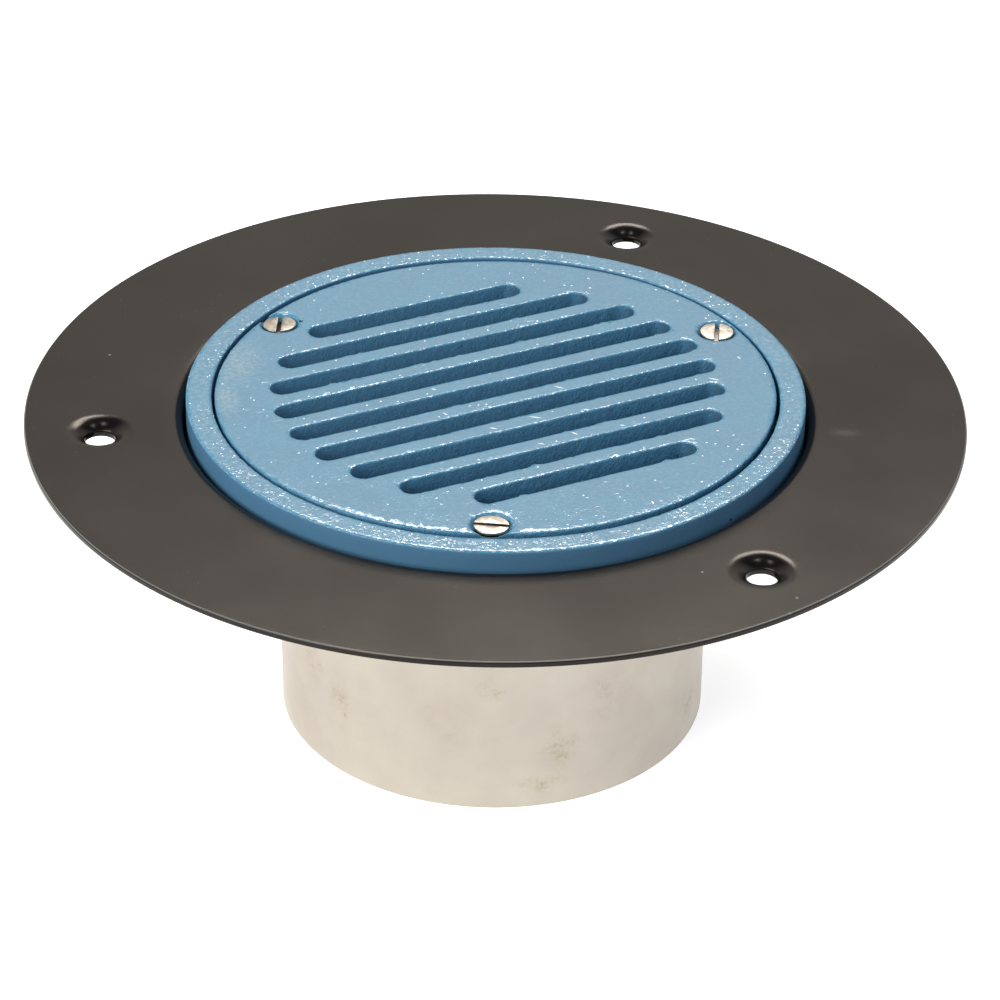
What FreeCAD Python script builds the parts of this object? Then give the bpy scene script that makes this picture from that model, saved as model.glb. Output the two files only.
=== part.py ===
import FreeCAD, Part
import math
import os

# Floor drain: a round slotted grate screwed into a cast frame ring, which is clamped in the well of a
# pressed sheet-steel flange pan with an outlet pipe below.
# Millimetres. +Z is up, the origin is the centre of the outlet pipe's lower end, and the grate's slots
# run along X. Every radius is built outwards from the outlet pipe and every height upwards from its end.

# Outlet pipe
pipe_outer_diameter = 114.3
pipe_wall = 2.0
pipe_length = 69.5
pipe_end_chamfer = 0.5

# Flange pan: one pressing of even thickness
sheet = 1.5
ledge_width = 24.55
well_depth = 18.0
flange_width = 38.3
flange_bend_inside = 1.5
ledge_bend_inside = 1.5
collar_bend_inside = 0.8
collar_length = 13.0
collar_clearance = 0.1

# Drawn dimples with the floor screw holes
floor_hole_count = 3
floor_hole_diameter = 8.0
floor_hole_edge_distance = 19.4
floor_hole_angle = 43.0
dimple_width = 5.0
dimple_slope = 35.0
dimple_rim_inside = 3.0

# Frame ring
well_clearance = 0.7
ring_wall = 6.9
ring_stand = 4.5
ring_foot_chamfer = 1.2
ring_edge_round = 0.8
seat_width = 12.0
seat_thickness = 5.0
boss_wall = 4.4

# Grate
grate_gap = 1.25
grate_thickness = 10.0
grate_edge_round = 0.8
grate_foot_chamfer = 0.6
slot_pitch = 12.0
slot_width = 6.4
slot_draft = 0.35
slot_edge_round = 0.7
slot_end_margin = 6.3

# Slotted countersunk screws that hold the grate
grate_screw_count = 3
grate_screw_angle = 3.0
grate_screw_edge_distance = 4.95
grate_screw_thread = 5.0
grate_screw_head = 9.0
grate_screw_head_land = 0.6
grate_screw_head_sink = 0.1
grate_screw_cover = 2.0
grate_screw_slot_width = 1.2
grate_screw_slot_depth = 1.3
grate_screw_slot_turns = (59.5, 59.0, -33.0)
screw_recess_diameter = 10.4
screw_hole_clearance = 0.25
head_clearance = 0.05
thread_clearance = 0.05
drill_point_depth = 0.8

# Slotted cheese-head screws that clamp the frame ring, with hexagon nuts welded under the ledge
clamp_screw_thread = 6.0
clamp_screw_head = 10.0
clamp_screw_head_height = 3.9
clamp_screw_head_sink = 0.6
clamp_screw_head_clearance = 0.5
clamp_screw_slot_width = 1.6
clamp_screw_slot_depth = 1.8
clamp_screw_end = 1.5
nut_across_flats = 10.0
nut_height = 5.0

# Heights that follow
ledge_top = pipe_length + sheet
flange_top = ledge_top + well_depth
ring_top = flange_top + ring_stand
seat_top = ring_top - grate_thickness

# Radii that follow, from the pipe outwards
pipe_radius = pipe_outer_diameter / 2
pipe_bore_radius = pipe_radius - pipe_wall
collar_outer_radius = pipe_bore_radius - collar_clearance
collar_inner_radius = collar_outer_radius - sheet
well_radius = pipe_radius + ledge_width
flange_bend = flange_bend_inside + sheet
flange_radius = well_radius + flange_bend + flange_width
ring_radius = well_radius - well_clearance
rebate_radius = ring_radius - ring_wall
seat_radius = rebate_radius - seat_width
grate_radius = rebate_radius - grate_gap
slot_end_circle = seat_radius - slot_end_margin
floor_hole_radius = floor_hole_diameter / 2
floor_hole_circle = flange_radius - floor_hole_edge_distance
grate_screw_circle = grate_radius - grate_screw_edge_distance
clamp_screw_circle = pipe_radius + ledge_width / 2
clamp_screw_angle = grate_screw_angle + 180.0 / grate_screw_count

AXIS = FreeCAD.Vector(0, 0, 1)
CENTRE = FreeCAD.Vector(0, 0, 0)


def bend(centre_radius, centre_height, radius, start, end):
    """Three points of an arc in the radius and height plane, from start to end in degrees."""
    points = []
    for angle in (start, (start + end) / 2, end):
        turn = math.radians(angle)
        points.append((centre_radius + radius * math.cos(turn), centre_height + radius * math.sin(turn)))
    return points


def lathe(*outline):
    """Solid of revolution: each item of the outline is a point (radius, height) or a bend."""
    edges = []
    items = [item if isinstance(item, list) else [item] for item in outline]
    for item, following in zip(items, items[1:] + items[:1]):
        points = [FreeCAD.Vector(radius, 0, height) for radius, height in item]
        if len(points) == 3:
            edges.append(Part.Arc(*points).toShape())
        start = points[-1]
        end = FreeCAD.Vector(following[0][0], 0, following[0][1])
        if start.distanceToPoint(end) > 1e-6:
            edges.append(Part.makeLine(start, end))
    face = Part.Face(Part.Wire(edges))
    return face.revolve(CENTRE, AXIS, 360)


def rod(radius, low, high):
    return Part.makeCylinder(radius, high - low, FreeCAD.Vector(0, 0, low))


def around(shape, circle, count, start_angle):
    """Copies of a shape made on the Z axis, evenly spaced on a circle."""
    copies = []
    for index in range(count):
        copy = shape.copy()
        copy.translate(FreeCAD.Vector(circle, 0, 0))
        copy.rotate(CENTRE, AXIS, start_angle + index * 360.0 / count)
        copies.append(copy)
    return copies


def make_outlet_pipe():
    # The bore's top edge is chamfered so that the pipe passes the bend of the collar and seats on the ledge.
    collar_chamfer = collar_bend_inside + collar_clearance + sheet / 10
    return lathe(
        (pipe_bore_radius, 0),
        (pipe_radius - pipe_end_chamfer, 0),
        (pipe_radius, pipe_end_chamfer),
        (pipe_radius, pipe_length),
        (pipe_bore_radius + collar_chamfer, pipe_length),
        (pipe_bore_radius, pipe_length - collar_chamfer),
    )


def make_pressing():
    """The pan before its dimples: flange, well wall, ledge and turned-down collar."""
    flange_bend_radius = well_radius + flange_bend
    flange_bend_height = flange_top - flange_bend
    ledge_bend_radius = well_radius - ledge_bend_inside
    ledge_bend_height = ledge_top + ledge_bend_inside
    ledge_bend = ledge_bend_inside + sheet
    collar_bend = collar_bend_inside + sheet
    collar_bend_radius = collar_inner_radius + collar_bend
    collar_bend_height = ledge_top - collar_bend
    collar_end = ledge_top - collar_length
    return lathe(
        (flange_radius, flange_top),
        bend(flange_bend_radius, flange_bend_height, flange_bend, 90, 180),
        bend(ledge_bend_radius, ledge_bend_height, ledge_bend_inside, 0, -90),
        bend(collar_bend_radius, collar_bend_height, collar_bend, 90, 180),
        (collar_inner_radius, collar_end),
        (collar_outer_radius, collar_end),
        bend(collar_bend_radius, collar_bend_height, collar_bend_inside, 180, 90),
        bend(ledge_bend_radius, ledge_bend_height, ledge_bend, -90, 0),
        bend(flange_bend_radius, flange_bend_height, flange_bend_inside, 180, 90),
        (flange_radius, flange_top - sheet),
    )


def make_dimple():
    """One dimple on the Z axis: rounded rim, cone and pierced hole, of the sheet's own thickness."""
    rim_radius = floor_hole_radius + dimple_width
    rim_bend = dimple_rim_inside + sheet
    slope = math.radians(dimple_slope)
    cone_start = rim_radius - rim_bend * math.sin(slope)
    hole_top = flange_top - rim_bend * (1 - math.cos(slope)) - (cone_start - floor_hole_radius) * math.tan(slope)
    hole_bottom = hole_top - sheet / math.cos(slope)
    return lathe(
        bend(rim_radius, flange_top - rim_bend, rim_bend, 90, 90 + dimple_slope),
        (floor_hole_radius, hole_top),
        (floor_hole_radius, hole_bottom),
        bend(rim_radius, flange_top - rim_bend, dimple_rim_inside, 90 + dimple_slope, 90),
    )


def make_flange_pan():
    blank = rod(floor_hole_radius + dimple_width, flange_top - sheet, flange_top)
    ledge_hole = rod(clamp_screw_thread / 2 + screw_hole_clearance, pipe_length, ledge_top)
    blanks = around(blank, floor_hole_circle, floor_hole_count, floor_hole_angle)
    ledge_holes = around(ledge_hole, clamp_screw_circle, grate_screw_count, clamp_screw_angle)
    dimples = around(make_dimple(), floor_hole_circle, floor_hole_count, floor_hole_angle)
    return make_pressing().cut(blanks + ledge_holes).fuse(dimples).removeSplitter()


def make_frame_ring():
    """Wall, rebate and grate seat, with bosses under the seat for both sets of screws."""
    shelf_bottom = seat_top - seat_thickness
    round_height = ring_top - ring_edge_round
    body = lathe(
        (ring_radius - ring_foot_chamfer, ledge_top),
        (ring_radius, ledge_top + ring_foot_chamfer),
        bend(ring_radius - ring_edge_round, round_height, ring_edge_round, 0, 90),
        bend(rebate_radius + ring_edge_round, round_height, ring_edge_round, 90, 180),
        (rebate_radius, seat_top),
        (seat_radius, seat_top),
        (seat_radius, shelf_bottom),
        (rebate_radius, shelf_bottom),
        (rebate_radius, ledge_top),
    )
    grate_boss = rod(grate_screw_thread / 2 + boss_wall, ledge_top, seat_top)
    clamp_boss = rod(clamp_screw_thread / 2 + boss_wall, ledge_top, seat_top)
    bosses = around(grate_boss, grate_screw_circle, grate_screw_count, grate_screw_angle)
    bosses += around(clamp_boss, clamp_screw_circle, grate_screw_count, clamp_screw_angle)
    tapped_bottom = ledge_top + grate_screw_cover - drill_point_depth
    tapped_hole = rod(grate_screw_thread / 2 + thread_clearance, tapped_bottom, seat_top)
    head_pocket = rod(clamp_screw_head / 2 + clamp_screw_head_clearance, clamp_head_seat(), seat_top)
    clamp_hole = rod(clamp_screw_thread / 2 + screw_hole_clearance, ledge_top, seat_top).fuse(head_pocket)
    holes = around(tapped_hole, grate_screw_circle, grate_screw_count, grate_screw_angle)
    holes += around(clamp_hole, clamp_screw_circle, grate_screw_count, clamp_screw_angle)
    return body.fuse(bosses).removeSplitter().cut(holes)


def clamp_head_seat():
    return seat_top - clamp_screw_head_sink - clamp_screw_head_height


def slot_outline(end_centre, row, width, height):
    """Round-ended slot along X, with the centres of its ends at end_centre either side of the middle."""
    half = width / 2
    corners = [FreeCAD.Vector(x, row + y, height) for x, y in
               ((-end_centre, -half), (end_centre, -half), (end_centre, half), (-end_centre, half))]
    right_tip = FreeCAD.Vector(end_centre + half, row, height)
    left_tip = FreeCAD.Vector(-end_centre - half, row, height)
    return Part.Wire([
        Part.makeLine(corners[0], corners[1]),
        Part.Arc(corners[1], right_tip, corners[2]).toShape(),
        Part.makeLine(corners[2], corners[3]),
        Part.Arc(corners[3], left_tip, corners[0]).toShape(),
    ])


def make_slots():
    """The slots whose end centres fit on the end circle, each widening downwards by the casting's draft."""
    rows_each_side = int((slot_end_circle - slot_width) // slot_pitch)
    slots = []
    for index in range(-rows_each_side, rows_each_side + 1):
        row = index * slot_pitch
        end_centre = math.sqrt(slot_end_circle ** 2 - row ** 2)
        top = slot_outline(end_centre, row, slot_width, ring_top)
        bottom = slot_outline(end_centre, row, slot_width + 2 * slot_draft, seat_top)
        slots.append(Part.makeLoft([top, bottom], True, True))
    return slots


def make_grate():
    disc = lathe(
        (0, seat_top),
        (grate_radius - grate_foot_chamfer, seat_top),
        (grate_radius, seat_top + grate_foot_chamfer),
        bend(grate_radius - grate_edge_round, ring_top - grate_edge_round, grate_edge_round, 0, 90),
        (0, ring_top),
    )
    slotted = disc.cut(make_slots())
    top_face = max((face for face in slotted.Faces if face.BoundBox.ZMin > ring_top - 1e-6),
                   key=lambda face: face.Area)
    slot_edges = [edge for wire in top_face.Wires if not wire.isSame(top_face.OuterWire) for edge in wire.Edges]
    rounded = slotted.makeFillet(slot_edge_round, slot_edges)
    cone_top = ring_top - grate_screw_head_sink - grate_screw_head_land
    cone_radius = grate_screw_head / 2 + head_clearance
    hole_radius = grate_screw_thread / 2 + screw_hole_clearance
    seat = lathe(
        (0, seat_top),
        (hole_radius, seat_top),
        (hole_radius, cone_top - cone_radius + hole_radius),
        (cone_radius, cone_top),
        (screw_recess_diameter / 2, cone_top),
        (screw_recess_diameter / 2, ring_top),
        (0, ring_top),
    )
    return rounded.cut(around(seat, grate_screw_circle, grate_screw_count, grate_screw_angle))


def screwdriver_slot(width, depth, head_diameter, head_top):
    corner = FreeCAD.Vector(-head_diameter, -width / 2, head_top - depth)
    return Part.makeBox(2 * head_diameter, width, depth, corner)


def make_grate_screws():
    head_top = ring_top - grate_screw_head_sink
    head_radius = grate_screw_head / 2
    thread_radius = grate_screw_thread / 2
    cone_top = head_top - grate_screw_head_land
    blank = lathe(
        (0, ledge_top + grate_screw_cover),
        (thread_radius, ledge_top + grate_screw_cover),
        (thread_radius, cone_top - head_radius + thread_radius),
        (head_radius, cone_top),
        (head_radius, head_top),
        (0, head_top),
    )
    slot = screwdriver_slot(grate_screw_slot_width, grate_screw_slot_depth, grate_screw_head, head_top)
    screws = []
    for index, turn in enumerate(grate_screw_slot_turns):
        place = grate_screw_angle + index * 360.0 / grate_screw_count
        turned_slot = slot.copy()
        turned_slot.rotate(CENTRE, AXIS, turn - place)
        screws += around(blank.cut(turned_slot), grate_screw_circle, 1, place)
    return Part.makeCompound(screws)


def make_clamp_screws():
    head_seat = clamp_head_seat()
    head_top = head_seat + clamp_screw_head_height
    end = pipe_length - nut_height - clamp_screw_end
    shank = rod(clamp_screw_thread / 2, end, head_seat)
    head = rod(clamp_screw_head / 2, head_seat, head_top)
    slot = screwdriver_slot(clamp_screw_slot_width, clamp_screw_slot_depth, clamp_screw_head, head_top)
    screw = shank.fuse(head).removeSplitter().cut(slot)
    return Part.makeCompound(around(screw, clamp_screw_circle, grate_screw_count, clamp_screw_angle))


def make_weld_nuts():
    corner_radius = nut_across_flats / math.sqrt(3)
    corners = []
    for index in range(7):
        turn = math.radians(60 * index)
        x = corner_radius * math.cos(turn)
        y = corner_radius * math.sin(turn)
        corners.append(FreeCAD.Vector(x, y, pipe_length - nut_height))
    hexagon = Part.Face(Part.makePolygon(corners))
    prism = hexagon.extrude(FreeCAD.Vector(0, 0, nut_height))
    nut = prism.cut(rod(clamp_screw_thread / 2 + thread_clearance, pipe_length - nut_height, pipe_length))
    return Part.makeCompound(around(nut, clamp_screw_circle, grate_screw_count, clamp_screw_angle))


PIECES = {
    "outlet_pipe": make_outlet_pipe,
    "flange_pan": make_flange_pan,
    "frame_ring": make_frame_ring,
    "grate": make_grate,
    "grate_screws": make_grate_screws,
    "clamp_screws": make_clamp_screws,
    "weld_nuts": make_weld_nuts,
}

os.makedirs("parts", exist_ok=True)
for name, make in PIECES.items():
    make().exportStep("parts/" + name + ".step")
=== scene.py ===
import math
from functools import partial, reduce

import bmesh
import bpy
from bpy.props import FloatProperty, FloatVectorProperty, IntProperty, PointerProperty
from mathutils import Matrix, Vector


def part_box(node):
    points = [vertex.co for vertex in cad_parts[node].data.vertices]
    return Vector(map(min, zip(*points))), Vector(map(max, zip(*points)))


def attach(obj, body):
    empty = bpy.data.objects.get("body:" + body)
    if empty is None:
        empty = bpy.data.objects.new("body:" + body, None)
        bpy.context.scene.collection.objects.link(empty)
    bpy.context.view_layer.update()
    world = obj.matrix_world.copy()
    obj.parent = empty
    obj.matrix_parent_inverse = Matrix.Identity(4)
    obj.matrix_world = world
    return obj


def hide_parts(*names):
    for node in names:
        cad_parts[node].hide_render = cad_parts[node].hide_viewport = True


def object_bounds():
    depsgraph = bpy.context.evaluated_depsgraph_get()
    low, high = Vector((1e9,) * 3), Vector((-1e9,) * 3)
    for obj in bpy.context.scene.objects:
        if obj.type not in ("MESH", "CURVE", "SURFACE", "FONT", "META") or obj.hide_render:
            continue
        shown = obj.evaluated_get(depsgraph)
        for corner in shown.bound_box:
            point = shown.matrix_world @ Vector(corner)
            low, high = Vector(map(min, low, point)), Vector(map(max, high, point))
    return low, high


bl_info = {
    "name": "Floor Drain",
    "version": (1, 0, 0),
    "blender": (4, 5, 0),
    "location": "3D View > Sidebar > Floor Drain",
    "description": "Dresses the CAD frame of a round floor drain with a slotted cast grate",
    "category": "Object",
}

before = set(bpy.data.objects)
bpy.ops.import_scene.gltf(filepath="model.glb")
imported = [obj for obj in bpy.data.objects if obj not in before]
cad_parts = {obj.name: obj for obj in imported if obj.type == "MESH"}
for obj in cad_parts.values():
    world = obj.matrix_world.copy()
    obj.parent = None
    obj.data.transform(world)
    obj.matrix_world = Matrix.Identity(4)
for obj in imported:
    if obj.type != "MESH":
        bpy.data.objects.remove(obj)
CAD_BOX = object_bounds()

MM = 0.001
GRATE_LOW, GRATE_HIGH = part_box("grate")
RING_LOW, RING_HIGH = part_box("frame_ring")
PAN_LOW, PAN_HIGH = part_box("flange_pan")
PIPE_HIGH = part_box("outlet_pipe")[1]
SCREW_LOW, SCREW_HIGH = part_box("grate_screws")
# Steps around each kind of circle.
PAN_STEPS, DIMPLE_STEPS, CASTING_STEPS, SLOT_STEPS = 288, 72, 360, 50
HOLE_STEPS, PIPE_STEPS, SCREW_STEPS = 48, 256, 96
VOXEL = 0.42 * MM  # mesh width of a casting before it is thinned out
SHARP = math.radians(40.0)  # edges that turn by more than this stay sharp
# Bearings of the first grate screw, clamp screw and floor hole; two more of each follow, 120 degrees apart.
FIRST_SCREW, FIRST_CLAMP, FIRST_HOLE = math.radians(3.0), math.radians(63.0), math.radians(43.0)
MIDDLE = (0.5, 0.5, 0.5)  # mean of a noise
LEVEL = (1.0, 1.0, 0.0)  # takes the height out of a vector

# Kinds of node that the trees use most.
MATH, VECTOR, RANGE = "ShaderNodeMath", "ShaderNodeVectorMath", "ShaderNodeMapRange"
MIX, NOISE, CELLS, BUMP = "ShaderNodeMix", "ShaderNodeTexNoise", "ShaderNodeTexVoronoi", "ShaderNodeBump"
JOIN_XYZ, SPLIT_XYZ = "ShaderNodeCombineXYZ", "ShaderNodeSeparateXYZ"
MOVE, SHIFT, JOIN = "GeometryNodeSetPosition", "GeometryNodeTransform", "GeometryNodeJoinGeometry"
CIRCLE, BOOLEAN = "GeometryNodeCurvePrimitiveCircle", "GeometryNodeMeshBoolean"


def linear(code):
    """Linear RGBA of an sRGB hex value."""
    channels = [int(code[i:i + 2], 16) / 255 for i in (0, 2, 4)]
    return [c / 12.92 if c <= 0.04045 else ((c + 0.055) / 1.055) ** 2.4 for c in channels] + [1.0]


def per_mm(width):
    """Texture scale that makes a feature as wide as that many millimetres."""
    return 1.0 / (width * MM)


def amount(label, note, value, least=0.0, **kind):
    """A number among the settings."""
    return FloatProperty(name=label, description=note, default=value, min=least, **kind)


def length(label, note, millimetres):
    """A length among the settings, kept in metres."""
    return amount(label, note, millimetres * MM, precision=5, subtype="DISTANCE", unit="LENGTH")


def colour(label, note, code):
    """A colour among the settings."""
    return FloatVectorProperty(name=label, description=note, default=linear(code), size=4, min=0.0, max=1.0,
                               subtype="COLOR")


class DrainSizes(bpy.types.PropertyGroup):
    """Sizes of the drain's pieces, the main ones taken from the CAD frame."""

    grate_radius: length("Grate radius", "Outer radius of the grate", -GRATE_LOW.x / MM)
    grate_thickness: length("Grate thickness", "Height of the grate", (GRATE_HIGH.z - GRATE_LOW.z) / MM)
    slot_pitch: length("Slot pitch", "Distance from one slot to the next", 12.0)
    slot_width: length("Slot width", "Width of a slot at the top", 6.4)
    slot_draft: length("Slot draft", "How much wider each side of a slot is at the bottom", 0.35)
    slot_circle: length("Slot end circle", "Radius of the circle of the centres of the slots' ends", 55.8)
    slot_rows: IntProperty(name="Slots", description="Number of slots", default=9, min=1)
    ring_radius: length("Ring radius", "Outer radius of the frame ring", RING_HIGH.x / MM)
    ring_wall: length("Ring wall", "Thickness of the ring's wall", 6.9)
    seat_width: length("Seat width", "Width of the ledge that carries the grate", 12.0)
    seat_thickness: length("Seat thickness", "Thickness of the ledge that carries the grate", 5.0)
    pan_radius: length("Flange radius", "Outer radius of the flange", PAN_HIGH.x / MM)
    sheet: length("Sheet", "Thickness of the pressed sheet", 1.5)
    floor_hole_radius: length("Floor hole radius", "Radius of the holes in the dimples", 4.0)
    floor_hole_circle: length("Floor hole circle", "Radius of the circle of the floor holes", 103.6)
    pipe_radius: length("Pipe radius", "Outer radius of the outlet pipe", PIPE_HIGH.x / MM)
    pipe_wall: length("Pipe wall", "Thickness of the outlet pipe's wall", 2.0)
    screw_circle: length("Screw circle", "Radius of the circle of the grate screws", 67.9)
    screw_head: length("Screw head", "Diameter of a grate screw's head", 9.0)
    clamp_circle: length("Clamp screw circle", "Radius of the circle of the clamp screws", 69.425)


class DrainColours(bpy.types.PropertyGroup):
    """Colours of the drain's finishes."""

    enamel: colour("Blue", "Blue of the coating on the castings", "3c7d9c")
    # On the ring's wall this deep blue is painted shade; elsewhere it marks coating that lies thick.
    enamel_deep: colour("Deep blue", "Blue of the ring's wall and where the coating lies thick", "456d8a")
    # The slots' walls get this duller blue as painted shade.
    enamel_dark: colour("Dark blue", "Blue of the slots' walls", "467695")
    # The scrape colour also paints the glints: pale nib tips and edge beads.
    scrape: colour("Scrape", "Chalky blue of scraped coating", "e4eef3")
    dust: colour("Dust", "Pale dust on the grate and the flange", "b4b7b2")
    # Shadow blue is painted shade on both walls of the gap around the grate.
    shadow: colour("Shadow blue", "Blue of the dirty walls in the gap around the grate", "294a68")
    # Grime marks real dirt in pits, and is also painted shade on the slot ends that face -X and under the screw
    # heads.
    grime: colour("Grime", "Dark dirt in pits and driver slots", "1d1a17")
    black: colour("Black", "Coating of the pan", "0d0c0d")
    black_sheen: colour("Black sheen", "Warm sheen of the pan's coating", "fff0e1")
    stainless: colour("Stainless", "Pickled steel of the pipe", "c0b9ac")
    stain: colour("Stain", "Duller mottling of the pipe", "b3a9a0")
    brown: colour("Brown", "Brownish marks on the pipe", "9c8666")
    screw: colour("Screw", "Satin steel of the screws", "aaa49b")
    nut: colour("Nut", "Plain steel of the nuts", "8f8d89")
    floor: colour("Floor", "Studio floor", "f3f5f8")


class DrainStage(bpy.types.PropertyGroup):
    """Light and camera."""

    back_light: amount("Back light", "Power of the soft light behind the drain", 19.5, unit="POWER")
    fill_light: amount("Fill light", "Power of the wide light in front, on the left", 46.0, unit="POWER")
    lamp: amount("Lamp", "Power of each small overhead lamp", 1.5, unit="POWER")
    room: amount("Room", "Brightness of the pale walls all round", 0.86)
    ceiling: amount("Ceiling", "Brightness of the dim ceiling", 0.03)
    glow: amount("Floor glow", "Light from under the floor", 0.58)
    lens: amount("Lens", "Focal length in millimetres on a 36 mm sensor", 140.4, 10.0, subtype="DISTANCE_CAMERA")


def connect(tree, node, links):
    """Give inputs of a node a value, a socket, a node or a list of those. A tuple fills the first inputs in order,
    and of a node its first output in use is taken."""
    for key, value in enumerate(links) if isinstance(links, tuple) else links.items():
        for source in value if isinstance(value, list) else [value]:
            if isinstance(source, bpy.types.Node):
                source = next(socket for socket in source.outputs if socket.enabled)
            if isinstance(source, bpy.types.NodeSocket):
                tree.links.new(source, node.inputs[key])
            else:
                node.inputs[key].default_value = source


def put(tree, kind, links=(), operation=None, **settings):
    """Add one node with its settings and links. Each tree has this function bound to it, as add."""
    node = tree.nodes.new(kind)
    if operation:
        node.operation = operation
    for key, value in settings.items():
        setattr(node, key, value)
    connect(tree, node, links)
    return node


def new_tree(name, sizes):
    """A geometry tree, the function that adds a node to it, and its inputs: Geometry, the sizes, which are floats
    unless a kind follows their name, and Material."""
    tree = bpy.data.node_groups.new(name, "GeometryNodeTree")
    tree.is_modifier = True
    add = partial(put, tree)
    for size in ("Geometry:Geometry, " + sizes + ", Material:Material").split(", "):
        label, _, kind = size.partition(":")
        tree.interface.new_socket(label, in_out="INPUT", socket_type="NodeSocket" + (kind or "Float"))
    tree.interface.new_socket("Geometry", in_out="OUTPUT", socket_type="NodeSocketGeometry")
    return tree, add, add("NodeGroupInput").outputs


def close_tree(add, given, result):
    """End a tree in real geometry with its material."""
    real = add("GeometryNodeRealizeInstances", {"Geometry": result})
    painted = add("GeometryNodeSetMaterial", {"Geometry": real, "Material": given["Material"]})
    add("NodeGroupOutput", {"Geometry": painted})


def grow(piece, tree, values):
    """Put a tree on a piece and set its inputs by their identifiers."""
    modifier = piece.modifiers.new(tree.name, "NODES")
    modifier.node_group = tree
    for item in tree.interface.items_tree:
        if item.in_out == "INPUT" and item.name in values:
            modifier[item.identifier] = values[item.name]


def settle(piece, material):
    """Turn what a piece's modifiers make into its plain mesh, with one material all over."""
    graph = bpy.context.evaluated_depsgraph_get()
    made = bpy.data.meshes.new_from_object(piece.evaluated_get(graph), preserve_all_data_layers=True,
                                           depsgraph=graph)
    blank = piece.data
    piece.modifiers.clear()
    piece.data = made
    made.name = piece.name
    bpy.data.meshes.remove(blank)
    made.materials.clear()
    made.materials.append(material)
    made.polygons.foreach_set("material_index", [0] * len(made.polygons))
    made.shade_smooth()


def new_piece(name, mesh=None):
    """An object in the scene, with an empty mesh if none is given."""
    piece = bpy.data.objects.new(name, mesh or bpy.data.meshes.new(name))
    bpy.context.scene.collection.objects.link(piece)
    return piece


def arc(centre, radius, start, end, steps=8):
    """Points of an arc in the radius and height plane, angles in degrees, sizes in metres."""
    points = []
    for step in range(steps + 1):
        turn = math.radians(start + (end - start) * step / steps)
        points.append((centre[0] + radius * math.cos(turn), centre[1] + radius * math.sin(turn)))
    return points


def turned(name, outline, segments, closed=True):
    """Mesh of revolution about Z from points (radius, height) that run with the solid on their left."""
    shape = bmesh.new()
    rings = []
    for radius, height in outline:
        ring = []
        for step in range(segments):
            turn = 2 * math.pi * step / segments
            ring.append(shape.verts.new((radius * math.cos(turn), radius * math.sin(turn), height)))
        rings.append(ring)
    pairs = list(zip(rings, rings[1:]))
    if closed:
        pairs.append((rings[-1], rings[0]))
    for first, second in pairs:
        for step in range(segments):
            following = (step + 1) % segments
            shape.faces.new((first[step], first[following], second[following], second[step]))
    bmesh.ops.remove_doubles(shape, verts=shape.verts, dist=1e-7)
    mesh = bpy.data.meshes.new(name)
    shape.to_mesh(mesh)
    shape.free()
    return mesh


def circle_points(add, count, radius, first):
    """Points evenly on a circle about Z, with the turn of each."""
    step = add(MATH, (2 * math.pi, count), "DIVIDE")
    turn = add(MATH, (add("GeometryNodeInputIndex"), step, first), "MULTIPLY_ADD")
    x, y = (add(MATH, (add(MATH, (turn,), part), radius), "MULTIPLY") for part in ("COSINE", "SINE"))
    points = add("GeometryNodePoints", {"Count": count, "Position": add(JOIN_XYZ, (x, y))})
    return points, add(JOIN_XYZ, {2: turn})


def patterned(add, points, turns, shape):
    """Copies of a shape on points, as real geometry."""
    copies = add("GeometryNodeInstanceOnPoints", {"Points": points, "Instance": shape, "Rotation": turns})
    return add("GeometryNodeRealizeInstances", {"Geometry": copies})


def plug(add, radius, bottom, top):
    """A closed cylinder on the Z axis between two heights."""
    depth = add(MATH, (top, bottom), "SUBTRACT")
    middle = add(MATH, (add(MATH, (top, bottom), "ADD"), 0.5), "MULTIPLY")
    shape = add("GeometryNodeMeshCylinder", {"Vertices": HOLE_STEPS, "Side Segments": 1, "Radius": radius,
                                             "Depth": depth})
    return add(SHIFT, {"Geometry": shape, "Translation": add(JOIN_XYZ, {2: middle})})


def off_axis(add, place):
    """Distance of a place from the Z axis."""
    return add(VECTOR, (add(VECTOR, (place, LEVEL), "MULTIPLY"),), "LENGTH")


def half_chord(add, radius, aside):
    """Half the length of a circle's chord that lies at a distance from its centre."""
    squares = tuple(add(MATH, (side, side), "MULTIPLY") for side in (radius, aside))
    return add(MATH, (add(MATH, squares, "SUBTRACT"),), "SQRT")


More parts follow.
